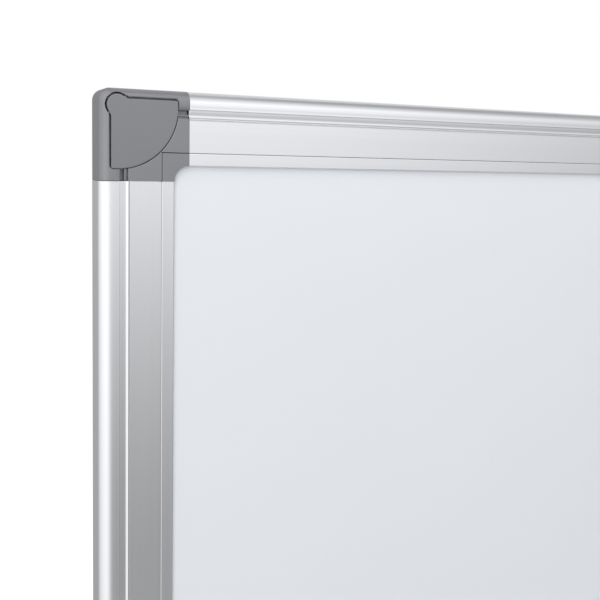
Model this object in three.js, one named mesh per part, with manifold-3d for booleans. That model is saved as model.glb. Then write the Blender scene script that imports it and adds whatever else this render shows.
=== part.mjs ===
// Magnetic whiteboard, landscape, in an aluminium frame with plastic corners and a clip-on pen tray.
// Millimetres. +X runs along the width, +Z up, and the board faces -Y.
// The origin is the middle of the board on the plane of the wall.
import * as THREE from "three";
import { mergeVertices } from "three/addons/utils/BufferGeometryUtils.js";
import Module from "manifold-3d";

const wasm = await Module();
wasm.setup();

// Overall size
const boardWidth = 900;
const boardHeight = 600;

// Rail section: u runs inwards from the outer side, w forwards from the wall
const railFace = 26;
const railDepth = 12;
const railWall = 1.3;
const lipThickness = 1.2;
const lipEdgeRadius = 0.3;
const shoulderRadius = 4.3;
const beadWidth = 6.1;
const beadRise = 0.3;
const beadFall = 0.2;
const grooveWidth = 2.65;
const grooveDepth = 1;
const ridgeWidth = 0.45;
const ridgeSlope = THREE.MathUtils.degToRad(38);
const ridgeBend = 0.25;
const ridgeEdgeRadius = 0.15;
const notchWidth = 0.5;
const notchDepth = 0.6;
const flatEdgeRadius = 0.25;
const stepPlace = 21.4;
const stepWidth = 0.8;
const stepDepth = 0.5;
const chamberWidth = 7.4;
const rearFlangeReach = 18;
const rearEdgeRadius = 1;

// Corner moulding: a and b run inwards from its two outer sides
const cornerLength = 31.4;
const cornerRadius = 4;
const cornerShoulderRadius = 3.4;
const cornerProud = 0.35;
const openingRadius = 5.2;
const jointGap = 0.2;
const legLength = 26;
const legFit = 0.2;
const legTaper = 0.8;
const endBevelWidth = 1.2;
const endSlotPlace = 6.7;
const endSlotWidth = 1.5;
const endSlotDepth = 2.3;
const endRidgeWidth = 0.75;
const endRidgeDrop = 0.45;
const endNotchWidth = 0.5;
const endNotchDepth = 1.1;
const coreWall = 1.8;
const coreRib = 1.2;
const coreDepth = 8.2;
const coreLength = 9.6;

// Screw seat under the cover, for the wall screw
const seatPlace = 14;
const seatRadius = 5;
const seatThickness = 3.5;
const wallScrewHoleRadius = 2.5;

// Cover that tips up on two pins, and the recess that it closes
const pivotInset = 5.8;
const pivotDepth = 0.95;
const lobeRadius = 3.5;
const coverReach = 21.4;
const coverInset = 3.65;
const coverKink = 3.65;
const coverThickness = 1.5;
const coverEdgeRadius = 0.25;
const coverCornerRadius = 0.5;
const recessCornerRadius = 1.1;
const recessKink = 3.8;
const edgeGap = 0.58;
const arcGap = 0.3;
const lobeGap = 0.8;
const floorGap = 0.2;
const barrelRadius = 1.2;
const barrelHalfLength = 2.6;
const pinRadius = 0.55;
const pinReach = 5;
const pinFit = 0.1;
const pinEndGap = 0.2;
const wellClearance = 0.4;
const studPlace = 19.6;
const studRadius = 0.9;
const studLength = 1.6;
const studFit = 0.35;

// Panel pack: writing sheet, core and backing sheet
const sheetThickness = 0.4;
const backingThickness = 0.25;
const packFit = 0.2;
const panelEdgeGap = 0.3;
const panelCornerCut = 24.4;

// Countersunk screws that hold the rails on the corner legs
const screwHeadRadius = 2.6;
const screwHeadHeight = 1.2;
const screwSink = 0.1;
const screwShankRadius = 1.3;
const screwLength = 7;
const screwTip = 1.2;
const screwFit = 0.2;
const screwPlace = 13;

// Pen tray that clips round the bead of the bottom rail
const trayLength = 300;
const trayReach = 48;
const trayWall = 1.3;
const trayLipHeight = 10;
const trayBend = 3;
const trayLegLength = 7;
const trayFit = 0.3;
const hookBite = 0.5;
const hookThickness = 0.9;
const hookRadius = 0.6;
const capThickness = 2;
const capPlugLength = 8;
const capPlugHeight = 2;
const capFit = 0.2;

// Facets, and the length by which a cutter passes the faces that it cuts
const curveSteps = 8;
const shoulderSteps = 6;
const coverEdgeSteps = 2;
const roundSides = 24;
const smallSides = 14;
const overrun = 4;
const weldDistance = 1e-4;

// Sizes that follow
const slotStart = 2 * railWall + chamberWidth;
const slotFront = railDepth - lipThickness;
const chamberFront = railDepth - grooveDepth - railWall;
const chamberMiddle = railWall + chamberWidth / 2;
const ridgeStart = beadWidth + grooveWidth;
const ridgeEnd = ridgeStart + ridgeWidth;
const flatStart = ridgeEnd + notchWidth;
const crest = railDepth + beadRise;
const railGap = cornerLength + jointGap;
const cornerFront = railDepth + cornerProud;
const cornerCrest = cornerFront + beadRise;
const farSide = cornerLength + legLength + overrun;
const pinHeight = cornerFront - pivotDepth;
const recessFloor = cornerFront - coverThickness - floorGap;
const panelInset = slotStart + panelEdgeGap;
const packFront = slotFront - packFit;
const packBack = railWall + packFit;
const halfTurn = Math.PI;
const quarterTurn = Math.PI / 2;

// Finishes
const anodised = { color: 0xd9dbdd, roughness: 0.32, metalness: 0.85 };
const greyPlastic = { color: 0x8b8c90, roughness: 0.5, metalness: 0 };
const lacquer = { color: 0xe9eef0, roughness: 0.12, metalness: 0 };
const fibreboard = { color: 0xb79a72, roughness: 0.9, metalness: 0 };
const zincSheet = { color: 0xa9adb0, roughness: 0.45, metalness: 0.8 };
const zincScrew = { color: 0xc4c6c9, roughness: 0.35, metalness: 0.9 };

// A closed three.js geometry as a solid that can be joined and cut.
function toSolid(geometry) {
  const bare = geometry.index ? geometry.toNonIndexed() : geometry.clone();
  bare.deleteAttribute("normal");
  bare.deleteAttribute("uv");
  const welded = mergeVertices(bare, weldDistance);
  return new wasm.Manifold(
    new wasm.Mesh({
      numProp: 3,
      vertProperties: new Float32Array(welded.attributes.position.array),
      triVerts: new Uint32Array(welded.index.array),
    }),
  );
}

// The solid's surface as a three.js geometry.
function toGeometry(solid) {
  const { vertProperties, triVerts } = solid.getMesh();
  const geometry = new THREE.BufferGeometry();
  geometry.setAttribute("position", new THREE.BufferAttribute(vertProperties, 3));
  geometry.setIndex(new THREE.BufferAttribute(triVerts, 1));
  geometry.computeVertexNormals();
  return geometry;
}

function join(solid, geometries) {
  return geometries.reduce((whole, geometry) => whole.add(toSolid(geometry)), solid);
}

function cut(solid, geometries) {
  return geometries.reduce((rest, geometry) => rest.subtract(toSolid(geometry)), solid);
}

// A box between two corners.
function block([x0, y0, z0], [x1, y1, z1]) {
  const box = new THREE.BoxGeometry(x1 - x0, y1 - y0, z1 - z0);
  return box.translate((x0 + x1) / 2, (y0 + y1) / 2, (z0 + z1) / 2);
}

// A round bar along z.
function bar(radius, x, y, z0, z1, sides = roundSides) {
  const cylinder = new THREE.CylinderGeometry(radius, radius, z1 - z0, sides);
  return cylinder.rotateX(quarterTurn).translate(x, y, (z0 + z1) / 2);
}

// An outline raised from z0 to z1.
function plate(shape, z0, z1) {
  const geometry = new THREE.ExtrudeGeometry(shape, {
    depth: z1 - z0,
    bevelEnabled: false,
    curveSegments: curveSteps,
  });
  return geometry.translate(0, 0, z0);
}

// An outline raised from z0 to z1 with both of its rims rounded.
function roundedPlate(shape, z0, z1, radius, steps) {
  const geometry = new THREE.ExtrudeGeometry(shape, {
    depth: z1 - z0 - 2 * radius,
    bevelThickness: radius,
    bevelSize: radius,
    bevelOffset: -radius,
    bevelSegments: steps,
    curveSegments: curveSteps,
  });
  return geometry.translate(0, 0, z0 + radius);
}

function polygon(points) {
  return new THREE.Shape(points.map(([x, y]) => new THREE.Vector2(x, y)));
}

// A section in a and w, run along b.
function runAlongB(shape, from, to) {
  return plate(shape, -to, -from).rotateX(quarterTurn);
}

// The same geometry with a and b exchanged, for the moulding's other arm.
function exchanged(geometry) {
  const flipped = geometry.index ? geometry.toNonIndexed() : geometry.clone();
  const position = flipped.attributes.position;
  const corner = [0, 1, 2].map(() => new THREE.Vector3());
  for (let i = 0; i < position.count; i += 3) {
    corner.forEach((point, k) => point.fromBufferAttribute(position, i + k));
    [0, 2, 1].forEach((from, k) => {
      position.setXYZ(i + k, corner[from].y, corner[from].x, corner[from].z);
    });
  }
  return flipped;
}

function onBothArms(geometries) {
  return geometries.flatMap((geometry) => [geometry, exchanged(geometry)]);
}

// The rail's extruded section, with its hollow chamber.
function railSection() {
  const flank = grooveDepth - ridgeBend * (1 - Math.cos(ridgeSlope));
  const shape = new THREE.Shape();
  shape.moveTo(rearEdgeRadius, 0);
  shape.lineTo(rearFlangeReach, 0);
  shape.lineTo(rearFlangeReach, railWall);
  shape.lineTo(slotStart, railWall);
  shape.lineTo(slotStart, slotFront);
  shape.lineTo(railFace, slotFront);
  shape.lineTo(railFace, railDepth - lipEdgeRadius);
  shape.absarc(railFace - lipEdgeRadius, railDepth - lipEdgeRadius, lipEdgeRadius, 0, quarterTurn);
  shape.lineTo(stepPlace + stepWidth, railDepth);
  shape.lineTo(stepPlace, railDepth - stepDepth);
  shape.lineTo(stepPlace, railDepth);
  shape.lineTo(flatStart + flatEdgeRadius, railDepth);
  shape.absarc(
    flatStart + flatEdgeRadius,
    railDepth - flatEdgeRadius,
    flatEdgeRadius,
    quarterTurn,
    halfTurn,
  );
  shape.lineTo(flatStart, railDepth - notchDepth);
  shape.lineTo(ridgeEnd, railDepth - notchDepth);
  shape.absarc(
    ridgeEnd - ridgeEdgeRadius,
    railDepth - ridgeEdgeRadius,
    ridgeEdgeRadius,
    0,
    quarterTurn,
  );
  shape.absarc(ridgeStart, railDepth - ridgeBend, ridgeBend, quarterTurn, quarterTurn + ridgeSlope);
  shape.quadraticCurveTo(
    ridgeStart - ridgeBend * Math.sin(ridgeSlope) - flank / Math.tan(ridgeSlope),
    railDepth - grooveDepth,
    beadWidth,
    railDepth - grooveDepth,
  );
  shape.lineTo(beadWidth, crest - beadFall);
  shape.quadraticCurveTo((beadWidth + shoulderRadius) / 2, crest, shoulderRadius, crest);
  shape.absarc(shoulderRadius, crest - shoulderRadius, shoulderRadius, quarterTurn, halfTurn);
  shape.lineTo(0, rearEdgeRadius);
  shape.absarc(rearEdgeRadius, rearEdgeRadius, rearEdgeRadius, halfTurn, halfTurn + quarterTurn);
  shape.holes.push(
    polygon([
      [railWall, railWall],
      [railWall, chamberFront],
      [railWall + chamberWidth, chamberFront],
      [railWall + chamberWidth, railWall],
    ]),
  );
  return shape;
}

// A section in u and w, run along the rail: u becomes +Z, w becomes -Y and the run +X.
const alongRail = new THREE.Matrix4().makeBasis(
  new THREE.Vector3(0, 0, 1),
  new THREE.Vector3(0, -1, 0),
  new THREE.Vector3(1, 0, 0),
);

// A revolved countersunk screw along z, head at the wall. The hole for it is grown by a clearance
// and runs out past the wall.
function screwBody(clearance) {
  const end = screwSink + screwLength + clearance;
  const head = screwHeadRadius + clearance;
  const shank = screwShankRadius + clearance;
  const mouth = clearance > 0 ? [[0, -overrun], [head, -overrun]] : [[0, screwSink]];
  const profile = [
    ...mouth,
    [head, screwSink],
    [shank, screwSink + screwHeadHeight],
    [shank, end - screwTip],
    [0, end],
  ];
  const points = profile.map(([radius, w]) => new THREE.Vector2(radius, w));
  return new THREE.LatheGeometry(points, smallSides).rotateX(quarterTurn);
}

function screwEnds(length) {
  return [screwPlace - length / 2, length / 2 - screwPlace];
}

// One rail: its section over the given length, with a countersunk hole near each end.
function railGeometry(length) {
  const run = plate(railSection(), -length / 2, length / 2);
  const holes = screwEnds(length).map((place) =>
    screwBody(screwFit).rotateX(-quarterTurn).translate(chamberMiddle, 0, place),
  );
  return toGeometry(cut(toSolid(run), holes)).applyMatrix4(alongRail);
}

// The outline shared by the cover and its recess.
function coverOutline(inset, lobe, reach, kink, corner) {
  const near = inset - pivotInset;
  const far = pivotInset + reach;
  const leave = Math.atan2(kink, near) + Math.acos(lobe / Math.hypot(near, kink));
  const shape = new THREE.Shape();
  shape.moveTo(inset, far - corner);
  shape.lineTo(inset, pivotInset + kink);
  shape.absarc(pivotInset, pivotInset, lobe, leave, 2 * halfTurn + quarterTurn - leave);
  shape.lineTo(pivotInset + kink, inset);
  shape.absarc(far - corner, inset + corner, corner, -quarterTurn, 0);
  shape.absarc(pivotInset, pivotInset, reach, 0, quarterTurn);
  shape.absarc(inset + corner, far - corner, corner, quarterTurn, halfTurn);
  shape.closePath();
  return shape;
}

// A round bar through the pivot, across the corner's diagonal, at the pins' height.
function crossBar(radius, halfLength) {
  const cylinder = new THREE.CylinderGeometry(radius, radius, 2 * halfLength, smallSides);
  return cylinder.rotateZ(quarterTurn / 2).translate(pivotInset, pivotInset, pinHeight);
}

// The cover: a thin plate with a knuckle and two pins under its lobe and a stud at its far side.
function coverGeometry() {
  const outline = coverOutline(coverInset, lobeRadius, coverReach, coverKink, coverCornerRadius);
  const bottom = cornerFront - coverThickness;
  const skin = roundedPlate(outline, bottom, cornerFront, coverEdgeRadius, coverEdgeSteps);
  const studMiddle = pivotInset + studPlace * Math.SQRT1_2;
  const top = (bottom + cornerFront) / 2;
  const parts = [
    crossBar(barrelRadius, barrelHalfLength),
    crossBar(pinRadius, pinReach),
    bar(studRadius, studMiddle, studMiddle, bottom - studLength, top, smallSides),
  ];
  const trimmed = join(toSolid(skin), parts).subtract(
    toSolid(block([-overrun, -overrun, cornerFront], [farSide, farSide, cornerFront + overrun])),
  );
  return toGeometry(trimmed).rotateX(quarterTurn);
}

// The moulding's block, with the bead's shoulder round its outer edge and a small rear edge.
function cornerBlock() {
  const shape = new THREE.Shape();
  shape.moveTo(cornerRadius, 0);
  shape.lineTo(farSide, 0);
  shape.lineTo(farSide, farSide);
  shape.lineTo(0, farSide);
  shape.lineTo(0, cornerRadius);
  shape.absarc(cornerRadius, cornerRadius, cornerRadius, halfTurn, halfTurn + quarterTurn);
  const low = -2 * cornerShoulderRadius;
  const high = cornerCrest + 2 * rearEdgeRadius;
  const front = roundedPlate(shape, low, cornerCrest, cornerShoulderRadius, shoulderSteps);
  const rear = roundedPlate(shape, 0, high, rearEdgeRadius, coverEdgeSteps);
  const reach = block([-overrun, -overrun, low], [cornerLength, cornerLength, high]);
  return toSolid(front).intersect(toSolid(rear)).intersect(toSolid(reach));
}

// What is cut from the moulding's front face on each arm.
function armCuts() {
  const open = cornerCrest + overrun;
  const bevel = polygon([
    [endSlotPlace - endBevelWidth, cornerCrest],
    [endSlotPlace, cornerFront],
    [endSlotPlace, open],
    [endSlotPlace - endBevelWidth, open],
  ]);
  const slotEnd = endSlotPlace + endSlotWidth;
  const ridgeSide = slotEnd + endRidgeWidth;
  const boxes = [
    [endSlotPlace, slotEnd, cornerFront - endSlotDepth],
    [slotEnd, ridgeSide, cornerFront - endRidgeDrop],
    [ridgeSide, ridgeSide + endNotchWidth, cornerFront - endNotchDepth],
  ];
  const start = pivotInset + coverReach - coverCornerRadius;
  const grooves = boxes.map(([a0, a1, w]) => block([a0, start, w], [a1, farSide, open]));
  const step = polygon([
    [stepPlace, cornerFront - stepDepth],
    [stepPlace + stepWidth, cornerFront],
    [stepPlace + stepWidth, open],
    [stepPlace, open],
  ]);
  const cores = [0, 1].map((row) => {
    const length = (coreLength - coreRib) / 2;
    const from = cornerLength - coreWall - coreLength + row * (length + coreRib);
    return block([coreWall, from, -overrun], [slotStart - coreWall, from + length, coreDepth]);
  });
  return [
    ...grooves,
    runAlongB(bevel, endSlotPlace, farSide),
    runAlongB(step, stepPlace, farSide),
    ...cores,
  ];
}

// What is cut from the whole moulding: the flat face, the opening, the panel's slot and the recess.
function cornerCuts() {
  const open = cornerCrest + overrun;
  const face = block([endSlotPlace, endSlotPlace, cornerFront], [farSide, farSide, open]);
  const opening = new THREE.Shape();
  opening.moveTo(railFace + openingRadius, railFace);
  opening.lineTo(farSide, railFace);
  opening.lineTo(farSide, farSide);
  opening.lineTo(railFace, farSide);
  opening.lineTo(railFace, railFace + openingRadius);
  opening.absarc(
    railFace + openingRadius,
    railFace + openingRadius,
    openingRadius,
    halfTurn,
    halfTurn + quarterTurn,
  );
  const cutLine = 2 * panelInset + panelCornerCut - 2 * panelEdgeGap;
  const slot = polygon([
    [slotStart, cutLine - slotStart],
    [cutLine - slotStart, slotStart],
    [farSide, slotStart],
    [farSide, farSide],
    [slotStart, farSide],
  ]);
  const behind = [rearFlangeReach, rearFlangeReach, -overrun];
  const recess = coverOutline(
    coverInset - edgeGap,
    lobeRadius + lobeGap,
    coverReach + arcGap,
    recessKink,
    recessCornerRadius,
  );
  const wellFloor = pinHeight - lobeRadius - wellClearance;
  const wellRadius = lobeRadius + lobeGap;
  const studMiddle = pivotInset + studPlace * Math.SQRT1_2;
  const studFloor = cornerFront - coverThickness - studLength - studFit;
  return [
    face,
    plate(opening, -overrun, open),
    plate(slot, railWall, slotFront),
    block(behind, [farSide, farSide, railWall]),
    plate(recess, recessFloor, open),
    bar(wellRadius, pivotInset, pivotInset, wellFloor, open),
    crossBar(pinRadius + pinFit, pinReach + pinEndGap),
    bar(studRadius + studFit, studMiddle, studMiddle, studFloor, open, smallSides),
    bar(seatRadius, seatPlace, seatPlace, seatThickness, open),
    bar(wallScrewHoleRadius, seatPlace, seatPlace, -overrun, open),
  ];
}

// The leg that plugs into a rail's chamber, run along b, with a tapered tip and its screw hole.
function legGeometry() {
  const low = railWall + legFit;
  const highA = railWall + chamberWidth - legFit;
  const highW = chamberFront - legFit;
  const shape = polygon([
    [low + legTaper, low + legTaper],
    [highA - legTaper, low + legTaper],
    [highA - legTaper, highW - legTaper],
    [low + legTaper, highW - legTaper],
  ]);
  const root = cornerLength - coreWall + legTaper;
  const tip = cornerLength + legLength - legTaper;
  const leg = new THREE.ExtrudeGeometry(shape, {
    depth: tip - root,
    bevelThickness: legTaper,
    bevelSize: legTaper,
    bevelSegments: 1,
  });
  return leg.translate(0, 0, -tip).rotateX(quarterTurn);
}

// A corner moulding, with its block at the local origin and its legs along a and b.
function cornerGeometry() {
  const body = cut(cornerBlock(), [...cornerCuts(), ...onBothArms(armCuts())]);
  const hole = screwBody(screwFit).translate(chamberMiddle, railGap + screwPlace, 0);
  const whole = cut(join(body, onBothArms([legGeometry()])), onBothArms([hole]));
  return toGeometry(whole).rotateX(quarterTurn);
}

// The panel's outline, with its corners cut off beside the corner mouldings' screw seats.
function panelOutline() {
  const x = boardWidth / 2 - panelInset;
  const z = boardHeight / 2 - panelInset;
  const [cutX, cutZ] = [x - panelCornerCut, z - panelCornerCut];
  return polygon([
    [cutX, -z],
    [x, -cutZ],
    [x, cutZ],
    [cutX, z],
    [-cutX, z],
    [-x, cutZ],
    [-x, -cutZ],
    [-cutX, -z],
  ]);
}

// The tray's section, in the rail's u and w: a leg under the rail, the trough and the hook.
const trayTop = -trayFit;
const trayBottom = trayTop - trayWall;
const trayBackIn = crest + trayFit;
const trayBackOut = trayBackIn + trayWall;
const trayFrontIn = trayBackOut + trayReach;
const trayFrontOut = trayFrontIn + trayWall;
const hookLow = beadWidth + trayFit;
const hookHigh = hookLow + hookThickness;

function traySection() {
  const outerBend = trayBend + trayWall;
  const shape = new THREE.Shape();
  shape.moveTo(trayBottom, trayBackIn - trayLegLength);
  shape.lineTo(trayBottom, trayFrontOut - outerBend);
  shape.absarc(trayBottom + outerBend, trayFrontOut - outerBend, outerBend, halfTurn, quarterTurn, true);
  shape.lineTo(trayLipHeight, trayFrontOut);
  shape.absarc(trayLipHeight, trayFrontOut - trayWall / 2, trayWall / 2, quarterTurn, -quarterTurn, true);
  shape.lineTo(trayTop + trayBend, trayFrontIn);
  shape.absarc(trayTop + trayBend, trayFrontIn - trayBend, trayBend, quarterTurn, halfTurn);
  shape.lineTo(trayTop, trayBackOut);
  shape.lineTo(hookHigh - hookRadius, trayBackOut);
  shape.absarc(hookHigh - hookRadius, trayBackOut - hookRadius, hookRadius, quarterTurn, 0, true);
  shape.lineTo(hookHigh, railDepth - hookBite);
  shape.lineTo(hookLow, railDepth - hookBite);
  shape.lineTo(hookLow, trayBackIn);
  shape.lineTo(trayTop, trayBackIn);
  shape.lineTo(trayTop, trayBackIn - trayLegLength);
  shape.closePath();
  return shape;
}

function trayGeometry() {
  return plate(traySection(), -trayLength / 2, trayLength / 2).applyMatrix4(alongRail);
}

// A cap for the tray's +X end: a side plate with a plug that lies on the trough's floor.
function capGeometry() {
  const outerBend = trayBend + trayWall;
  const side = new THREE.Shape();
  side.moveTo(trayBottom, trayBackIn);
  side.lineTo(trayBottom, trayFrontOut - outerBend);
  side.absarc(trayBottom + outerBend, trayFrontOut - outerBend, outerBend, halfTurn, quarterTurn, true);
  side.lineTo(trayLipHeight, trayFrontOut);
  side.lineTo(hookHigh, trayBackIn + outerBend);
  side.lineTo(hookHigh, trayBackIn);
  side.closePath();
  const start = trayLength / 2 + capFit;
  const plug = block(
    [trayTop + capFit, trayBackOut + capFit, trayLength / 2 - capPlugLength],
    [trayTop + capFit + capPlugHeight, trayFrontIn - trayBend, start + capThickness / 2],
  );
  const body = join(toSolid(plate(side, start, start + capThickness)), [plug]);
  return toGeometry(body).applyMatrix4(alongRail);
}

function addMesh(parent, name, geometry, finish) {
  const mesh = new THREE.Mesh(geometry, new THREE.MeshStandardMaterial(finish));
  mesh.name = name;
  parent.add(mesh);
  return mesh;
}

const whiteboard = new THREE.Group();

// The four sides, each turned a quarter turn from the last, and the corner at each one's start.
const sides = [
  { side: "bottom", corner: "bottom_left", length: boardWidth, height: boardHeight },
  { side: "right", corner: "bottom_right", length: boardHeight, height: boardWidth },
  { side: "top", corner: "top_right", length: boardWidth, height: boardHeight },
  { side: "left", corner: "top_left", length: boardHeight, height: boardWidth },
];
const cornerShape = cornerGeometry();
const coverShape = coverGeometry();
const screwShape = screwBody(0).rotateX(quarterTurn);

sides.forEach(({ side, corner, length, height }, turn) => {
  const group = new THREE.Group();
  group.rotation.y = -turn * quarterTurn;
  whiteboard.add(group);

  const railLength = length - 2 * railGap;
  const rail = addMesh(group, "rail_" + side, railGeometry(railLength), anodised);
  rail.position.z = -height / 2;

  screwEnds(railLength).forEach((place, end) => {
    const screw = addMesh(group, "rail_screw_" + side + "_" + (end + 1), screwShape, zincScrew);
    screw.position.set(place, 0, chamberMiddle - height / 2);
  });

  const moulding = addMesh(group, "corner_" + corner, cornerShape, greyPlastic);
  moulding.position.set(-length / 2, 0, -height / 2);
  const cover = addMesh(group, "cover_" + corner, coverShape, greyPlastic);
  cover.position.copy(moulding.position);
});

// The panel, from the front to the back
const coreFront = packFront - sheetThickness;
const coreBack = packBack + backingThickness;
const layers = [
  ["writing_sheet", coreFront, packFront, lacquer],
  ["core_board", coreBack, coreFront, fibreboard],
  ["backing_sheet", packBack, coreBack, zincSheet],
];
layers.forEach(([name, back, front, finish]) => {
  const layer = plate(panelOutline(), back, front).rotateX(quarterTurn);
  addMesh(whiteboard, name, layer, finish);
});

// The pen tray and its end caps, on the bottom rail
const tray = new THREE.Group();
tray.position.z = -boardHeight / 2;
whiteboard.add(tray);
addMesh(tray, "pen_tray", trayGeometry(), anodised);
addMesh(tray, "tray_cap_right", capGeometry(), greyPlastic);
const leftCap = addMesh(tray, "tray_cap_left", capGeometry(), greyPlastic);
leftCap.scale.x = -1;

export default whiteboard;
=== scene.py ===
"""Magnetic whiteboard: finished surfaces, small round edges, studio and camera.

Lengths are metres. +X runs along the board's width, +Z up, and its face looks
towards -Y. The origin is the middle of the board on the plane of the wall.
"""

import logging
import math
from collections.abc import Iterable, Sequence
from dataclasses import dataclass
from enum import Enum

import bmesh
import bpy
from mathutils import Matrix, Vector


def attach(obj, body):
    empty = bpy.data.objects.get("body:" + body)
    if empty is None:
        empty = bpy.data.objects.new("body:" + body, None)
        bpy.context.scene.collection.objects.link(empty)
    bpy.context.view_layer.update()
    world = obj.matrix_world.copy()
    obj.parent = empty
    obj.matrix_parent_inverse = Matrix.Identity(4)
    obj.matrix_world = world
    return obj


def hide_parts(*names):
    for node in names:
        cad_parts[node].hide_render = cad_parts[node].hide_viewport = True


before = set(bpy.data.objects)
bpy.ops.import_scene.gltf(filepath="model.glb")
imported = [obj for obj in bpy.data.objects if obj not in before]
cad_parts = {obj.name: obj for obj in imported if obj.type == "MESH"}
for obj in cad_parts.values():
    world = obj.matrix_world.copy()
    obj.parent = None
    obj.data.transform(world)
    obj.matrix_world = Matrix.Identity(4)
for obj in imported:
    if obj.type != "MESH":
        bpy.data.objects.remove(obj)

LOG = logging.getLogger("whiteboard")
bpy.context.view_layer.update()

MM = 0.001
WELD = 1e-6
FLAT_ANGLE = math.radians(0.2)
EDGE_ANGLE = math.radians(28)
SMOOTH_ANGLE = math.radians(30)
FULL_TURN = 2 * math.pi

# The shortest edge that a rounding follows, and that it may run into, in widths of the rounding
OWN_ROOM = 0.5
SIDE_ROOM = 2.1

# How well the ends of an arc's step agree in radius and depth, and the shortest step to split
ARC_MATCH = 0.002 * MM
ARC_STEP = 0.3 * MM

# How far a rail's front reaches behind its flat face, how near to an inset a corner's line lies,
# and how much the normals on a cover's upright wall point sideways
FRONT_RELIEF = 1.1 * MM
LINE_MATCH = 0.02 * MM
WALL_LEAN = 0.2

BOARD_HALF_WIDTH = 450 * MM
BOARD_HALF_HEIGHT = 300 * MM

# How bright the tent is, by degrees above the horizon and by degrees round from straight in front
# of the board towards its left. SIDE_SHARE says how far the side's two tables replace the front's.
FRONT_BY_RISE = ((-90, 0.16), (-30, 0.2), (-20.5, 0.29), (-14, 0.42), (-9, 0.55), (0, 0.9),
                 (6, 1.13), (12, 1.58), (21, 1.85), (32, 1.75), (39, 1.55), (58, 1.14), (78, 0.76),
                 (90, 0.66))
FRONT_BY_TURN = ((-180, 0.45), (-90, 0.45), (-60, 0.48), (-42, 0.6), (-29, 0.88), (-18, 0.99),
                 (180, 1.0))
SIDE_BY_RISE = ((-90, 0.35), (-40, 0.65), (-20, 0.85), (0, 1.0), (8, 1.12), (30, 1.15),
                (60, 0.9), (90, 0.6))
SIDE_BY_TURN = ((0, 1.1), (13, 1.18), (30, 1.38), (49, 1.68), (66, 1.65), (85, 1.48),
                (104, 1.34), (124, 0.98), (144, 0.52), (180, 0.3))
SIDE_SHARE = ((5, 0.0), (40, 1.0))

# Lines of a rail's front: inset in mm as drawn and as finished, and what scales their height
# over its flat face, for the bead in front of that face and for the rest
BEAD_LINES = ((4.3, 4.4, 1.0), (5.2, 5.5, 1.16), (5.65, 6.0, 1.5), (6.1, 6.5, 2.7))
FACE_LINES = ((6.1, 6.5, 0.25), (6.42, 7.0, 0.284), (6.738, 7.5, 0.35), (7.053, 7.95, 0.45),
              (7.366, 8.4, 0.58), (7.677, 8.8, 0.667), (7.986, 9.0, 0.77), (8.292, 9.25, 0.73),
              (8.596, 9.5, 0.4), (8.75, 9.6, 1.0), (9.05, 9.72, 1.0), (9.2, 9.82, 0.8),
              (9.7, 10.07, 0.8), (9.95, 10.2, 1.0), (21.39, 21.39, 0.6), (21.41, 21.41, 0.6),
              (22.2, 21.68, 1.0), (25.6, 25.6, 1.0))

Pair = tuple[float, float]
Triple = tuple[float, float, float]
Row = tuple[float, ...]
Colour = Triple


def between(rows: Sequence[Row], value: float) -> Row | None:
    """Reads a table at a value of its first column.

    Args:
        rows: The table, with a rising first column.
        value: Where it is read.

    Returns:
        The other columns, on straight lines between the rows, or nothing outside them.
    """
    for first, second in zip(rows, rows[1:]):
        if first[0] <= value <= second[0]:
            share = (value - first[0]) / (second[0] - first[0])
            return tuple(a + (b - a) * share for a, b in zip(first[1:], second[1:]))
    return None


def reach(point: Vector, centre: Vector) -> float:
    """How far a point lies from the axis along Y through `centre`."""
    return math.hypot(point.x - centre.x, point.z - centre.z)


class Run(Enum):
    """The axis along which an extrusion was pressed."""

    ALONG_X = 0
    ALONG_Z = 2

    def stretched(self, along: float, across: float) -> Triple:
        """A pattern's repeats a metre: `along` on this axis and `across` on the others."""
        scale = [across, across, across]
        scale[self.value] = along
        return (scale[0], scale[1], scale[2])


class Side(Enum):
    """One side of the board, by the name of its rail."""

    TOP = "top"
    BOTTOM = "bottom"
    LEFT = "left"
    RIGHT = "right"

    @property
    def run(self) -> Run:
        """The axis that this side's rail follows."""
        return Run.ALONG_X if self in (Side.TOP, Side.BOTTOM) else Run.ALONG_Z

    @property
    def inwards(self) -> Vector:
        """The direction from this side to the board's middle."""
        sign = 1.0 if self in (Side.BOTTOM, Side.LEFT) else -1.0
        return Vector((0.0, 0.0, sign)) if self.run is Run.ALONG_X else Vector((sign, 0.0, 0.0))

    def inset(self, point: Vector) -> float:
        """How far a point lies in from this side's outer face."""
        half = BOARD_HALF_HEIGHT if self.run is Run.ALONG_X else BOARD_HALF_WIDTH
        return half + point.dot(self.inwards)


class Corner(Enum):
    """One corner of the board, with the signs of its X and Z."""

    TOP_LEFT = ("top_left", -1, 1)
    TOP_RIGHT = ("top_right", 1, 1)
    BOTTOM_LEFT = ("bottom_left", -1, -1)
    BOTTOM_RIGHT = ("bottom_right", 1, -1)

    @property
    def label(self) -> str:
        """The corner's name as the frame's nodes spell it."""
        return self.value[0]

    def inwards(self, distance: float) -> Vector:
        """The point that lies `distance` in from both outer sides, on the wall's plane."""
        _, sign_x, sign_z = self.value
        x = sign_x * (BOARD_HALF_WIDTH - distance)
        return Vector((x, 0.0, sign_z * (BOARD_HALF_HEIGHT - distance)))


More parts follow.
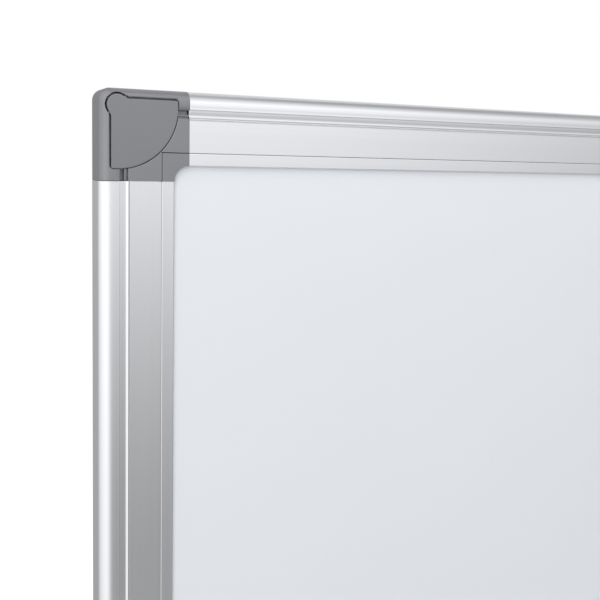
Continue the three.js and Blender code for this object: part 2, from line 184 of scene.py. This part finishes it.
class Graph:
    """A node tree that is filled one node at a time."""

    def __init__(self, tree: bpy.types.NodeTree) -> None:
        """Empties the tree.

        Args:
            tree: The node tree of a material or of the world.
        """
        self.tree = tree
        tree.nodes.clear()

    def add(self, kind: str, inputs: dict[str | int, object] | None = None,
            **settings: object) -> bpy.types.Node:
        """Adds a node, sets its properties and fills its inputs.

        Args:
            kind: The node's type name.
            inputs: Values or other nodes' output sockets, by input name or number.
            **settings: Properties of the node itself.

        Returns:
            The new node.
        """
        node = self.tree.nodes.new(kind)
        for name, value in settings.items():
            setattr(node, name, value)
        for name, value in (inputs or {}).items():
            if isinstance(value, bpy.types.NodeSocket):
                self.tree.links.new(value, node.inputs[name])
            else:
                node.inputs[name].default_value = value
        return node

    def pattern(self, repeats: float | Triple, detail: float = 2.0,
                roughness: float = 0.5) -> bpy.types.NodeSocket:
        """Noise on Object coordinates.

        Args:
            repeats: Repeats a metre, for all axes or for X, Y and Z.
            detail: The noise's octaves.
            roughness: How strongly the finer octaves count.

        Returns:
            The noise's value, from 0 to 1.
        """
        scale = (repeats,) * 3 if isinstance(repeats, float) else repeats
        place = self.add("ShaderNodeTexCoord").outputs["Object"]
        spread = self.add("ShaderNodeMapping", {"Vector": place, "Scale": scale})
        noise = self.add("ShaderNodeTexNoise", {
            "Vector": spread.outputs["Vector"], "Scale": 1.0,
            "Detail": detail, "Roughness": roughness,
        })
        return noise.outputs["Fac"]

    def ranged(self, value: bpy.types.NodeSocket, low: float, high: float,
               start: float = 0.3, end: float = 0.7) -> bpy.types.NodeSocket:
        """Maps a 0 to 1 pattern to a range.

        Args:
            value: The pattern.
            low: The result at `start`.
            high: The result at `end`.
            start: The pattern's value that gives `low`.
            end: The pattern's value that gives `high`.

        Returns:
            The mapped value.
        """
        node = self.add("ShaderNodeMapRange", {
            "Value": value, "From Min": start, "From Max": end, "To Min": low, "To Max": high,
        })
        return node.outputs["Result"]

    def profile(self, angle: bpy.types.NodeSocket, rows: Sequence[Pair]) -> bpy.types.NodeSocket:
        """Follows straight lines through the rows of a table.

        Args:
            angle: The input, in radians.
            rows: Pairs of an angle in degrees and its output, with rising angles.

        Returns:
            The output.
        """
        places = [math.radians(degrees) for degrees, _ in rows]
        start, end = places[0], places[-1]
        ramp = self.add("ShaderNodeValToRGB", {"Fac": self.ranged(angle, 0.0, 1.0, start, end)})
        elements = ramp.color_ramp.elements
        for place in places[1:-1]:
            elements.new((place - start) / (end - start))
        for element, (_, level) in zip(elements, rows):
            element.color = (level, level, level, 1.0)
        return ramp.outputs["Color"]

    def maths(self, operation: str, *values: object) -> bpy.types.NodeSocket:
        """One step of arithmetic.

        Args:
            operation: The node's operation.
            *values: Numbers or sockets.

        Returns:
            The result.
        """
        node = self.add("ShaderNodeMath", dict(enumerate(values)), operation=operation)
        return node.outputs["Value"]

    def sight(self) -> bpy.types.NodeSocket:
        """1 for camera, glossy and transmission rays, and 0 for those that carry light."""
        path = self.add("ShaderNodeLightPath").outputs
        seen = self.maths("MAXIMUM", path["Is Camera Ray"], path["Is Glossy Ray"])
        return self.maths("MAXIMUM", seen, path["Is Transmission Ray"])

    def shaded(self, colour: Colour, factor: bpy.types.NodeSocket) -> bpy.types.NodeSocket:
        """A colour that a pattern makes lighter and darker.

        Args:
            colour: The mean colour.
            factor: The pattern's factor, about 1.

        Returns:
            The colour's socket.
        """
        node = self.add("ShaderNodeVectorMath", {0: colour, "Scale": factor}, operation="SCALE")
        return node.outputs["Vector"]

    def bump(self, height: bpy.types.NodeSocket, depth: float,
             under: bpy.types.NodeSocket | None = None) -> bpy.types.NodeSocket:
        """A bump of a given depth.

        Args:
            height: The pattern.
            depth: The height in metres that a full step of the pattern stands for.
            under: Another bump's normal, which this one adds to.

        Returns:
            The bumped normal.
        """
        inputs: dict[str | int, object] = {"Height": height, "Distance": depth}
        if under is not None:
            inputs["Normal"] = under
        return self.add("ShaderNodeBump", inputs).outputs["Normal"]

    def surface(self, inputs: dict[str | int, object]) -> None:
        """Ends the tree in a Principled surface with these inputs."""
        shader = self.add("ShaderNodeBsdfPrincipled", inputs)
        self.add("ShaderNodeOutputMaterial", {"Surface": shader.outputs["BSDF"]})


def new_material(name: str) -> tuple[bpy.types.Material, Graph]:
    """Makes an empty node material.

    Args:
        name: The material's name.

    Returns:
        The material and its graph.
    """
    material = bpy.data.materials.new(name)
    material.use_nodes = True
    return material, Graph(material.node_tree)


@dataclass(frozen=True)
class SatinAluminium:
    """Satin anodised aluminium, with the fine lines that the die leaves along a run."""

    name: str
    run: Run
    colour: Colour = (0.635, 0.640, 0.660)
    tone: Pair = (0.985, 1.015)
    roughness: Pair = (0.31, 0.35)
    line_repeats: Pair = (4.0, 3200.0)
    band_repeats: Pair = (0.8, 420.0)
    etch_repeats: float = 9000.0
    line_depth: float = 0.0012 * MM
    etch_depth: float = 0.0015 * MM

    def material(self) -> bpy.types.Material:
        """Builds the node material."""
        made, graph = new_material(self.name)
        lines = graph.pattern(self.run.stretched(*self.line_repeats), detail=3.0)
        bands = graph.pattern(self.run.stretched(*self.band_repeats), detail=4.0)
        etch = graph.pattern(self.etch_repeats, detail=1.0)
        graph.surface({
            "Base Color": graph.shaded(self.colour, graph.ranged(bands, *self.tone)),
            "Metallic": 1.0,
            "Roughness": graph.ranged(lines, *self.roughness),
            "Normal": graph.bump(etch, self.etch_depth, graph.bump(lines, self.line_depth)),
        })
        return made


@dataclass(frozen=True)
class MouldedPlastic:
    """Grey moulded ABS with a fine spark-eroded texture and faint flow shading."""

    name: str
    colour: Colour
    roughness: Pair = (0.30, 0.40)
    flow_tone: Pair = (0.975, 1.025)
    speck_tone: Pair = (0.97, 1.03)
    shine: float = 1.0
    index: float = 1.65
    grain_repeats: float = 3400.0
    speck_repeats: float = 1700.0
    flow_repeats: float = 60.0
    grain_depth: float = 0.012 * MM

    def material(self) -> bpy.types.Material:
        """Builds the node material."""
        made, graph = new_material(self.name)
        grain = graph.pattern(self.grain_repeats, roughness=0.6)
        flow = graph.pattern(self.flow_repeats, detail=3.0)
        speck = graph.pattern(self.speck_repeats, detail=1.0)
        tone = graph.maths("MULTIPLY", graph.ranged(flow, *self.flow_tone),
                           graph.ranged(speck, *self.speck_tone))
        graph.surface({
            "Base Color": graph.shaded(self.colour, tone),
            "Roughness": graph.ranged(grain, *self.roughness),
            "Normal": graph.bump(grain, self.grain_depth),
            "IOR": self.index,
            "Specular IOR Level": self.shine,
        })
        return made


@dataclass(frozen=True)
class WhiteLacquer:
    """Glossy white lacquer on steel, with a faint orange peel and wiped haze."""

    name: str = "white lacquer on steel"
    colour: Colour = (0.732, 0.757, 0.788)
    tone: Pair = (0.992, 1.008)
    roughness: Pair = (0.15, 0.22)
    index: float = 1.5
    peel_repeats: float = 190.0
    haze_repeats: Triple = (7.0, 7.0, 14.0)
    peel_depth: float = 0.004 * MM

    def material(self) -> bpy.types.Material:
        """Builds the node material."""
        made, graph = new_material(self.name)
        peel = graph.pattern(self.peel_repeats, detail=1.0)
        haze = graph.pattern(self.haze_repeats, detail=4.0)
        graph.surface({
            "Base Color": graph.shaded(self.colour, graph.ranged(haze, *self.tone)),
            "Roughness": graph.ranged(haze, *self.roughness),
            "Normal": graph.bump(peel, self.peel_depth),
            "IOR": self.index,
        })
        return made


@dataclass(frozen=True)
class Fibreboard:
    """Pressed fibreboard, brown with short pale and dark fibres."""

    name: str = "pressed fibreboard"
    colour: Colour = (0.42, 0.29, 0.17)
    tone: Pair = (0.7, 1.25)
    roughness: Pair = (0.8, 0.95)
    fibre_repeats: Triple = (375.0, 1500.0, 375.0)
    fibre_depth: float = 0.05 * MM

    def material(self) -> bpy.types.Material:
        """Builds the node material."""
        made, graph = new_material(self.name)
        fibres = graph.pattern(self.fibre_repeats, detail=5.0, roughness=0.65)
        graph.surface({
            "Base Color": graph.shaded(self.colour, graph.ranged(fibres, *self.tone)),
            "Roughness": graph.ranged(fibres, *self.roughness),
            "Normal": graph.bump(fibres, self.fibre_depth),
        })
        return made


@dataclass(frozen=True)
class GalvanisedSteel:
    """Zinc-coated sheet with its crystal spangle and rolling marks."""

    name: str = "galvanised sheet"
    colour: Colour = (0.52, 0.535, 0.55)
    tone: Pair = (0.84, 1.14)
    roughness: Pair = (0.32, 0.55)
    spangle_repeats: float = 85.0
    warp_repeats: float = 260.0
    warp_reach: float = 6.0 * MM
    roll_repeats: Pair = (3.0, 700.0)
    roll_depth: float = 0.004 * MM

    def material(self) -> bpy.types.Material:
        """Builds the node material."""
        made, graph = new_material(self.name)
        place = graph.add("ShaderNodeTexCoord").outputs["Object"]
        warp = graph.add("ShaderNodeTexNoise", {"Vector": place, "Scale": self.warp_repeats})
        moved = graph.add("ShaderNodeVectorMath", {
            0: warp.outputs["Color"], 1: (self.warp_reach,) * 3, 2: place,
        }, operation="MULTIPLY_ADD")
        cells = graph.add("ShaderNodeTexVoronoi", {
            "Vector": moved.outputs["Vector"], "Scale": self.spangle_repeats,
        })
        crystal = graph.add("ShaderNodeSeparateColor", {"Color": cells.outputs["Color"]}).outputs
        rolled = graph.pattern(Run.ALONG_X.stretched(*self.roll_repeats), detail=3.0)
        tone = graph.ranged(crystal["Red"], *self.tone, start=0.0, end=1.0)
        graph.surface({
            "Base Color": graph.shaded(self.colour, tone),
            "Metallic": 1.0,
            "Roughness": graph.ranged(crystal["Green"], *self.roughness, start=0.0, end=1.0),
            "Normal": graph.bump(rolled, self.roll_depth),
        })
        return made


@dataclass(frozen=True)
class ZincPlating:
    """Bright zinc plating with a faint cloudy passivation."""

    name: str = "zinc plated screw"
    colour: Colour = (0.62, 0.62, 0.60)
    tone: Pair = (0.9, 1.1)
    roughness: Pair = (0.24, 0.42)
    cloud_repeats: float = 900.0
    mark_repeats: float = 5200.0
    mark_depth: float = 0.002 * MM

    def material(self) -> bpy.types.Material:
        """Builds the node material."""
        made, graph = new_material(self.name)
        cloud = graph.pattern(self.cloud_repeats, detail=3.0)
        marks = graph.pattern(self.mark_repeats)
        graph.surface({
            "Base Color": graph.shaded(self.colour, graph.ranged(cloud, *self.tone)),
            "Metallic": 1.0,
            "Roughness": graph.ranged(marks, *self.roughness),
            "Normal": graph.bump(marks, self.mark_depth),
        })
        return made


class Mesh:
    """A mesh in the making, from a frame node or from nothing."""

    def __init__(self, node: str | None = None) -> None:
        """Starts empty, or with the merged copy of a frame node.

        Args:
            node: The node whose mesh is copied.
        """
        self.data = bmesh.new()
        if node is None:
            return
        self.data.from_mesh(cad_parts[node].data)
        bmesh.ops.remove_doubles(self.data, verts=self.data.verts, dist=WELD)
        bmesh.ops.dissolve_limit(
            self.data, angle_limit=FLAT_ANGLE, verts=self.data.verts, edges=self.data.edges)

    def round_arcs(self, centre: Vector, bands: Iterable[Pair], cuts: int) -> None:
        """Splits the straight steps of arcs about an axis along Y, and rounds them.

        Args:
            centre: A point on the axis.
            bands: Least and greatest radius of each group of arcs.
            cuts: New points on each step.
        """
        chosen: dict[bmesh.types.BMEdge, float] = {}
        for edge in self.data.edges:
            first, second = (reach(vert.co, centre) for vert in edge.verts)
            rise = abs(edge.verts[0].co.y - edge.verts[1].co.y)
            if abs(first - second) > ARC_MATCH or rise > ARC_MATCH:
                continue
            if any(low <= first <= high for low, high in bands) and edge.calc_length() > ARC_STEP:
                chosen[edge] = first
        levels: dict[int, set[float]] = {}
        for edge, radius in chosen.items():
            levels.setdefault(round(edge.verts[0].co.y / WELD), set()).add(radius)
        made = bmesh.ops.subdivide_edges(self.data, edges=list(chosen), cuts=cuts)
        for item in made["geom_inner"]:
            if not isinstance(item, bmesh.types.BMVert):
                continue
            now = reach(item.co, centre)
            level = round(item.co.y / WELD)
            known = (radius for step in (-1, 0, 1) for radius in levels.get(level + step, ()))
            stretch = min((radius for radius in known if radius >= now - WELD), default=now) / now
            item.co.x = centre.x + (item.co.x - centre.x) * stretch
            item.co.z = centre.z + (item.co.z - centre.z) * stretch

    def cut(self, point: Vector, normal: Vector) -> None:
        """Splits the faces that a plane crosses, so that a feature's shading ends there.

        Args:
            point: A point on the plane.
            normal: The plane's normal.
        """
        whole = [*self.data.verts, *self.data.edges, *self.data.faces]
        bmesh.ops.bisect_plane(
            self.data, geom=whole, dist=WELD, plane_co=point, plane_no=normal)

    def stretch(self, run: Run, distance: float) -> None:
        """Makes an extrusion longer at both ends.

        Args:
            run: The axis that it follows.
            distance: How far each end moves outwards.
        """
        end = max(vert.co[run.value] for vert in self.data.verts)
        for vert in self.data.verts:
            if abs(vert.co[run.value]) > end - WELD:
                vert.co[run.value] += math.copysign(distance, vert.co[run.value])

    def reshape(self, side: Side, face: float) -> None:
        """Moves the lines of a rail's front, across and in depth, as the tables of lines say.

        Args:
            side: The rail's side.
            face: How far its flat face lies from the wall.
        """
        for vert in self.data.verts:
            inset, rise = side.inset(vert.co), -vert.co.y - face
            lines = BEAD_LINES if rise > WELD else FACE_LINES
            row = between(lines, round(inset / MM, 4))
            if rise > -FRONT_RELIEF and row is not None:
                vert.co += side.inwards * (row[0] * MM - inset)
                vert.co.y = -face - rise * row[1]

    def swell(self, distance: float, depth: float, centre: Vector, lobe: Pair) -> None:
        """Moves the upright walls of a cover's front outwards.

        Args:
            distance: How far they move.
            depth: How far from the board's wall the front begins.
            centre: The middle of the cover's lobe.
            lobe: The radius inside which the lobe's own wall lies, and how far that moves.
        """
        self.data.normal_update()
        moves = [(vert, Vector((vert.normal.x, 0.0, vert.normal.z))) for vert in self.data.verts]
        for vert, way in moves:
            if vert.co.y < -depth and way.length > WALL_LEAN:
                on_lobe = reach(vert.co, centre) < lobe[0]
                vert.co += way.normalized() * (lobe[1] if on_lobe else distance)

    def narrow(self, inset: float, distance: float, depth: float) -> None:
        """Moves the lines of a corner's front that lie at one inset towards the outer sides.

        Args:
            inset: How far the lines lie in from an outer side.
            distance: How far they move.
            depth: How far from the wall the front begins.
        """
        for vert in self.data.verts:
            for axis, half in ((0, BOARD_HALF_WIDTH), (2, BOARD_HALF_HEIGHT)):
                place = vert.co[axis]
                if vert.co.y < -depth and abs(half - abs(place) - inset) < LINE_MATCH:
                    vert.co[axis] += math.copysign(distance, place)

    def roomy_edges(self, width: float) -> list[bmesh.types.BMEdge]:
        """The outward edges that a rounding of this width has room for.

        Args:
            width: How far the rounding reaches from each edge.

        Returns:
            The edges in the mesh's order, less those that are short or end at a short one.
        """
        chosen = {edge for edge in self.data.edges
                  if edge.is_manifold and edge.calc_face_angle_signed() > EDGE_ANGLE}

        def fits(edge: bmesh.types.BMEdge) -> bool:
            """Whether the edge and those at its ends are long enough."""
            if edge.calc_length() < OWN_ROOM * width:
                return False
            for vert in edge.verts:
                through = sum(1 for other in vert.link_edges if other in chosen) == 2
                for other in vert.link_edges:
                    if other is edge or (through and other in chosen):
                        continue
                    if other.calc_length() < SIDE_ROOM * width:
                        return False
            return True

        while True:
            kept = {edge for edge in chosen if fits(edge)}
            if kept == chosen:
                return [edge for edge in self.data.edges if edge in chosen]
            chosen = kept

    def soften(self, width: float, segments: int = 4) -> None:
        """Rounds the outward edges.

        Args:
            width: How far the rounding reaches from each edge.
            segments: Steps across the rounding.
        """
        bmesh.ops.bevel(
            self.data, geom=self.roomy_edges(width), offset=width,
            offset_type="OFFSET", segments=segments, profile=0.5, affect="EDGES",
            clamp_overlap=False, material=-1)
        # A bevel leaves gaps among the faces in no fixed order, and the next would fill them: a
        # fresh copy has none, so each run gives the same mesh
        fresh = self.data.copy()
        self.data.free()
        self.data = fresh

    def piece(self, name: str, material: bpy.types.Material) -> bpy.types.Object:
        """Ends the mesh as an object.

        Args:
            name: The piece's name.
            material: Its finish.

        Returns:
            The new object, in the scene.
        """
        for face in self.data.faces:
            face.smooth = True
        mesh = bpy.data.meshes.new(name)
        self.data.to_mesh(mesh)
        self.data.free()
        mesh.set_sharp_from_angle(angle=SMOOTH_ANGLE)
        mesh.materials.append(material)
        made = bpy.data.objects.new(name, mesh)
        bpy.context.scene.collection.objects.link(made)
        weighted = made.modifiers.new("even shading", "WEIGHTED_NORMAL")
        weighted.keep_sharp = True
        return made


def stand_for(piece: bpy.types.Object, node: str, body: str) -> None:
    """Puts a finished piece in the place of a frame node.

    Args:
        piece: The finished piece.
        node: The node that it replaces.
        body: The body that it moves with.
    """
    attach(piece, body)
    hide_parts(node)
    LOG.info("%s stands for %s: %d faces", piece.name, node, len(piece.data.polygons))


def dress(node: str, material: bpy.types.Material) -> None:
    """Gives a frame node that stays its finish.

    Args:
        node: The node.
        material: Its finish.
    """
    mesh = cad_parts[node]
    if not mesh.material_slots:
        mesh.data.materials.append(material)
    for place in mesh.material_slots:
        place.link = "OBJECT"
        place.material = material
    LOG.info("%s dressed in %s", node, material.name)


@dataclass
class RailFrame:
    """The four extruded rails and the screws that hold them."""

    body: str = "frame"
    edge: float = 0.18 * MM
    small_edge: float = 0.08 * MM
    end_stretch: float = 0.16 * MM
    face: float = 12.0 * MM
    screws_a_rail: int = 2

    def build(self) -> None:
        """Builds and dresses the rails and their screws."""
        metals = {
            Run.ALONG_X: SatinAluminium("satin aluminium, level", Run.ALONG_X).material(),
            Run.ALONG_Z: SatinAluminium("satin aluminium, upright", Run.ALONG_Z).material(),
        }
        plating = ZincPlating().material()
        for side in Side:
            node = f"rail_{side.value}"
            mesh = Mesh(node)
            mesh.stretch(side.run, self.end_stretch)
            mesh.reshape(side, self.face)
            mesh.soften(self.edge)
            mesh.soften(self.small_edge, 2)
            rail = mesh.piece(f"{node}_extrusion", metals[side.run])
            stand_for(rail, node, self.body)
            for number in range(1, self.screws_a_rail + 1):
                dress(f"rail_screw_{side.value}_{number}", plating)


@dataclass
class CornerSet:
    """The four corner mouldings and the covers over their wall screws."""

    body: str = "frame"
    moulding_edge: float = 0.28 * MM
    small_edge: float = 0.1 * MM
    cover_edge: float = 0.1 * MM
    cover_swell: float = 0.1 * MM
    lobe_swell: Pair = (3.7 * MM, 0.2 * MM)
    recess_end: float = 27.9 * MM
    step_end: float = 22.2 * MM
    step_shift: float = 0.5 * MM
    corner_radius: float = 4.0 * MM
    corner_bands: tuple[Pair, ...] = ((2.0 * MM, 4.01 * MM),)
    pivot_inset: float = 5.8 * MM
    front_depth: float = 10.0 * MM
    cover_depth: float = 12.0 * MM
    lobe_bands: tuple[Pair, ...] = (
        (3.2 * MM, 3.55 * MM), (4.28 * MM, 4.32 * MM), (21.1 * MM, 21.75 * MM))
    arc_cuts: int = 3

    def build(self) -> None:
        """Builds and dresses the mouldings and covers."""
        shell = MouldedPlastic("grey moulded corner", (0.113, 0.115, 0.127)).material()
        lid = MouldedPlastic("grey moulded cover", (0.094, 0.096, 0.108), (0.29, 0.39)).material()
        for corner in Corner:
            self.build_moulding(corner, shell)
            self.build_cover(corner, lid)

    def build_moulding(self, corner: Corner, material: bpy.types.Material) -> None:
        """Builds one corner moulding.

        Args:
            corner: The corner that it stands on.
            material: Its finish.
        """
        node = f"corner_{corner.label}"
        mesh = Mesh(node)
        mesh.round_arcs(corner.inwards(self.pivot_inset), self.lobe_bands, self.arc_cuts)
        mesh.round_arcs(corner.inwards(self.corner_radius), self.corner_bands, self.arc_cuts)
        mesh.narrow(self.step_end, self.step_shift, self.front_depth)
        for across in (Vector((1.0, 0.0, 0.0)), Vector((0.0, 0.0, 1.0))):
            mesh.cut(corner.inwards(self.recess_end), across)
        mesh.soften(self.moulding_edge)
        mesh.soften(self.small_edge, 2)
        stand_for(mesh.piece(f"{node}_moulding", material), node, self.body)

    def build_cover(self, corner: Corner, material: bpy.types.Material) -> None:
        """Builds one cover.

        Args:
            corner: The corner whose screw it hides.
            material: Its finish.
        """
        node = f"cover_{corner.label}"
        centre = corner.inwards(self.pivot_inset)
        mesh = Mesh(node)
        mesh.round_arcs(centre, self.lobe_bands, self.arc_cuts)
        mesh.swell(self.cover_swell, self.cover_depth, centre, self.lobe_swell)
        mesh.soften(self.cover_edge, 2)
        stand_for(mesh.piece(f"{node}_lid", material), node, f"screw_{node}")


@dataclass
class Panel:
    """The writing sheet, its core and its backing."""

    def build(self) -> None:
        """Dresses the three layers."""
        dress("writing_sheet", WhiteLacquer().material())
        dress("core_board", Fibreboard().material())
        dress("backing_sheet", GalvanisedSteel().material())


@dataclass
class PenTray:
    """The pen tray and its end caps."""

    body: str = "tray"
    run_edge: float = 0.12 * MM
    cap_edge: float = 0.3 * MM

    def build(self) -> None:
        """Builds and dresses the tray and its caps."""
        finish = SatinAluminium("satin aluminium, tray", Run.ALONG_X, roughness=(0.34, 0.38))
        mesh = Mesh("pen_tray")
        mesh.soften(self.run_edge)
        tray = mesh.piece("pen_tray_extrusion", finish.material())
        stand_for(tray, "pen_tray", self.body)
        plastic = MouldedPlastic("grey moulded end cap", (0.108, 0.110, 0.122)).material()
        for hand in ("left", "right"):
            node = f"tray_cap_{hand}"
            mesh = Mesh(node)
            mesh.soften(self.cap_edge)
            stand_for(mesh.piece(f"{node}_moulding", plastic), node, self.body)


@dataclass(frozen=True)
class Softbox:
    """A rectangular lamp."""

    name: str
    place: Triple
    target: Triple
    size: Pair
    power: float

    def hang(self) -> None:
        """Adds the lamp, facing its target and left out of reflections."""
        lamp = bpy.data.lights.new(self.name, "AREA")
        lamp.shape = "RECTANGLE"
        lamp.size, lamp.size_y = self.size
        lamp.energy = self.power
        holder = bpy.data.objects.new(self.name, lamp)
        holder.location = self.place
        way = Vector(self.target) - Vector(self.place)
        holder.rotation_euler = way.to_track_quat("-Z", "Y").to_euler()
        holder.visible_glossy = False
        bpy.context.scene.collection.objects.link(holder)


@dataclass
class Studio:
    """Floor, grey tent, softboxes, world and camera."""

    fill: float = 0.62
    fill_colour: Row = (0.98, 0.99, 1.0, 1.0)
    background_colour: Row = (1.0, 1.0, 1.0, 1.0)
    floor_colour: Row = (0.86, 0.86, 0.86, 1.0)
    floor_lift: float = 0.56
    floor_height: float = -1.3
    floor_size: float = 40.0
    tent_radius: float = 2.3
    tent_rise: Pair = (math.radians(-70), math.radians(89))
    tent_opening: Pair = (math.radians(-5), math.radians(60))
    tent_rows: int = 24
    tent_columns: int = 64
    softboxes: tuple[Softbox, ...] = (
        Softbox("front softbox", (-0.55, -1.35, 1.05), (-0.4, 0.0, 0.25), (1.4, 0.8), 3.0),
        Softbox("left softbox", (-1.55, -1.35, 0.2), (-0.45, 0.0, 0.2), (0.9, 1.9), 11.0),
        Softbox("top softbox", (-0.45, -0.65, 1.5), (-0.4, 0.0, 0.3), (1.2, 0.8), 8.0),
    )
    camera_place: Triple = (-0.53264, -0.32821, 0.26994)
    yaw: float = math.radians(26.529)
    pitch: float = math.radians(-4.243)
    roll: float = math.radians(0.804)
    focal_pixels: float = 950.7
    picture_pixels: float = 600.0
    picture_centre_rise: float = 50.0
    sensor: float = 36.0

    def build(self) -> None:
        """Builds the whole studio."""
        self.set_world()
        self.lay_floor()
        self.raise_tent()
        for softbox in self.softboxes:
            softbox.hang()
        self.place_camera()
        bpy.context.scene.view_settings.view_transform = "Standard"

    def set_world(self) -> None:
        """A white background for what is seen, and even fill light for what is lit."""
        world = bpy.data.worlds.new("studio")
        world.use_nodes = True
        bpy.context.scene.world = world
        graph = Graph(world.node_tree)
        fill = graph.add("ShaderNodeBackground", {
            "Color": self.fill_colour, "Strength": self.fill})
        white = graph.add("ShaderNodeBackground", {
            "Color": self.background_colour, "Strength": 1.0})
        both = graph.add("ShaderNodeMixShader", {
            0: graph.sight(), 1: fill.outputs["Background"], 2: white.outputs["Background"]})
        graph.add("ShaderNodeOutputWorld", {"Surface": both.outputs["Shader"]})

    def lay_floor(self) -> None:
        """A plain pale floor, lifted to white where it is seen in the light."""
        mesh = Mesh()
        bmesh.ops.create_grid(mesh.data, x_segments=1, y_segments=1, size=self.floor_size / 2)
        bmesh.ops.translate(mesh.data, vec=(0.0, 0.0, self.floor_height), verts=mesh.data.verts)
        material, graph = new_material("pale floor")
        pale = graph.add("ShaderNodeBsdfDiffuse", {"Color": self.floor_colour})
        lift = graph.maths("MULTIPLY", graph.sight(), self.floor_lift)
        glow = graph.add("ShaderNodeEmission", {"Strength": lift})
        both = graph.add("ShaderNodeAddShader", {
            0: pale.outputs["BSDF"], 1: glow.outputs["Emission"]})
        graph.add("ShaderNodeOutputMaterial", {"Surface": both.outputs["Shader"]})
        mesh.piece("floor", material)

    def raise_tent(self) -> None:
        """A grey tent, seen in reflections only, that gives the metal its light's fall-off."""
        tent = self.tent_mesh().piece("tent", self.tent_material())
        tent.visible_camera = False
        tent.visible_diffuse = False
        tent.visible_shadow = False
        tent.visible_transmission = False

    def tent_mesh(self) -> Mesh:
        """Part of a ball round the board, open at the back, on its right."""
        mesh = Mesh()
        low, high = self.tent_rise
        opening_start, opening_end = self.tent_opening
        points = []
        for row in range(self.tent_rows + 1):
            rise = low + (high - low) * row / self.tent_rows
            points.append(mesh.data.verts.new(
                Matrix.Rotation(-opening_start, 3, "Z")
                @ Vector((0.0, math.cos(rise), math.sin(rise))) * self.tent_radius))
        edges = [mesh.data.edges.new(pair) for pair in zip(points, points[1:])]
        bmesh.ops.spin(
            mesh.data, geom=points + edges, cent=(0.0, 0.0, 0.0), axis=(0.0, 0.0, 1.0),
            steps=self.tent_columns, angle=FULL_TURN - (opening_end - opening_start),
            use_merge=False)
        return mesh

    def tent_material(self) -> bpy.types.Material:
        """A glow that follows the tables of the front and the side."""
        material, graph = new_material("grey tent")
        place = graph.add("ShaderNodeTexCoord").outputs["Object"]
        unit = graph.add("ShaderNodeVectorMath", {0: place}, operation="NORMALIZE")
        parts = graph.add("ShaderNodeSeparateXYZ", {"Vector": unit.outputs["Vector"]}).outputs
        rise = graph.maths("ARCSINE", parts["Z"])
        turn = graph.maths("ARCTAN2", graph.maths("MULTIPLY", parts["X"], -1.0),
                           graph.maths("MULTIPLY", parts["Y"], -1.0))
        front = graph.maths("MULTIPLY", graph.profile(rise, FRONT_BY_RISE),
                            graph.profile(turn, FRONT_BY_TURN))
        side = graph.maths("MULTIPLY", graph.profile(rise, SIDE_BY_RISE),
                           graph.profile(turn, SIDE_BY_TURN))
        share = graph.profile(turn, SIDE_SHARE)
        level = graph.add("ShaderNodeMix", {0: share, 2: front, 3: side})
        glow = graph.add("ShaderNodeEmission", {"Strength": level.outputs[0]})
        graph.add("ShaderNodeOutputMaterial", {"Surface": glow.outputs["Emission"]})
        return material

    def place_camera(self) -> None:
        """Sets the camera where the picture's lines say that it stood."""
        data = bpy.data.cameras.new("camera")
        data.sensor_width = self.sensor
        data.lens = self.sensor * self.focal_pixels / self.picture_pixels
        data.shift_y = -self.picture_centre_rise / self.picture_pixels
        camera = bpy.data.objects.new("camera", data)
        forward = Vector((math.sin(self.yaw) * math.cos(self.pitch),
                          math.cos(self.yaw) * math.cos(self.pitch), math.sin(self.pitch)))
        level = Vector((math.cos(self.yaw), -math.sin(self.yaw), 0.0))
        rise = level.cross(forward)
        right = level * math.cos(self.roll) + rise * math.sin(self.roll)
        up = rise * math.cos(self.roll) - level * math.sin(self.roll)
        turn = Matrix((right, up, -forward)).transposed()
        camera.matrix_world = Matrix.Translation(Vector(self.camera_place)) @ turn.to_4x4()
        bpy.context.scene.collection.objects.link(camera)
        bpy.context.scene.camera = camera


def main() -> None:
    """Builds the sub-assemblies and the studio, in order."""
    logging.basicConfig(level=logging.INFO, format="%(name)s: %(message)s")
    for part in (RailFrame(), CornerSet(), Panel(), PenTray(), Studio()):
        LOG.info("building %s", type(part).__name__)
        part.build()


if __name__ == "__main__":
    main()
